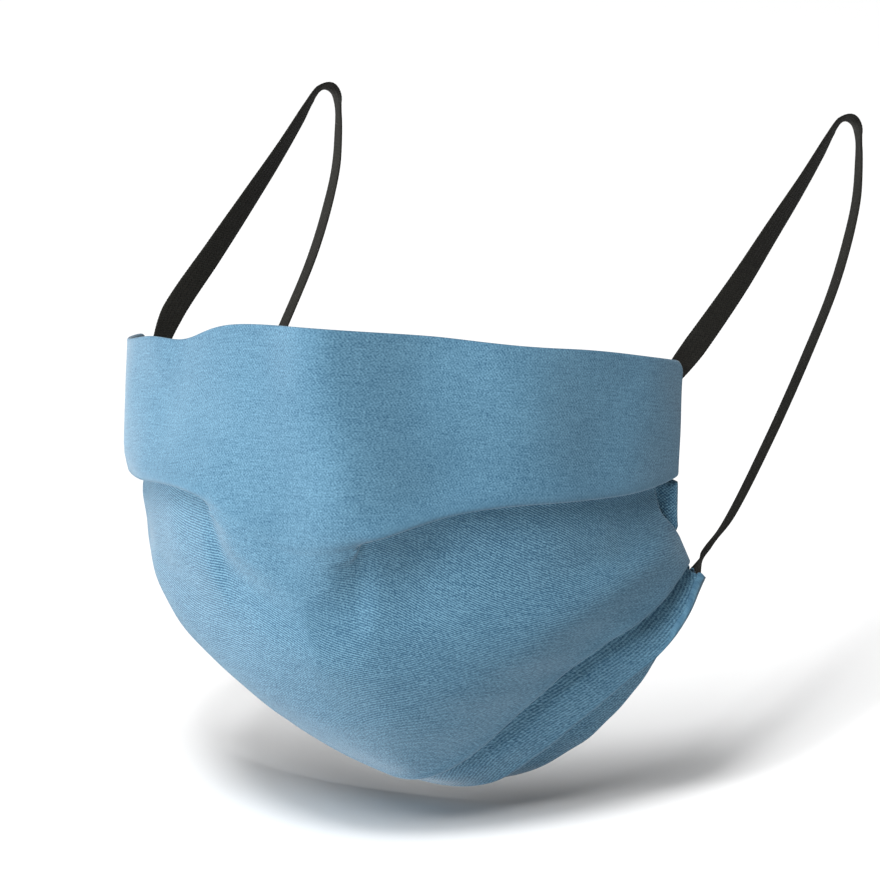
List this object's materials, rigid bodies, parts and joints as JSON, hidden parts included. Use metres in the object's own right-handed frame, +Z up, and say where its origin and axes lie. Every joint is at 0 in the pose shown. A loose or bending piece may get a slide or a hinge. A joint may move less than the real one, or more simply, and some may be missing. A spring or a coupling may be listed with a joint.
{
  "type": "cloth face mask",
  "caption": "Pleated chambray cloth face mask with flat black elastic ear loops, held in the shape it takes on a face.",
  "frame": {"origin": "middle of the top edge, where the mask sits on the bridge of the nose", "axes": "+Z up, the wearer faces -Y, +X is the wearer's left"},
  "size_m": [0.1533, 0.184, 0.1376],
  "materials": {
    "chambray": "plain weave, matt, mid blue with pale flecks",
    "elastic": "braided flat elastic, near black, matt"
  },
  "bodies": {
    "root": {"pleated_panel": "chambray", "side_hem_left": "chambray", "side_hem_right": "chambray", "ear_loop_left": "elastic", "ear_loop_right": "elastic"}
  },
  "joints": []
}
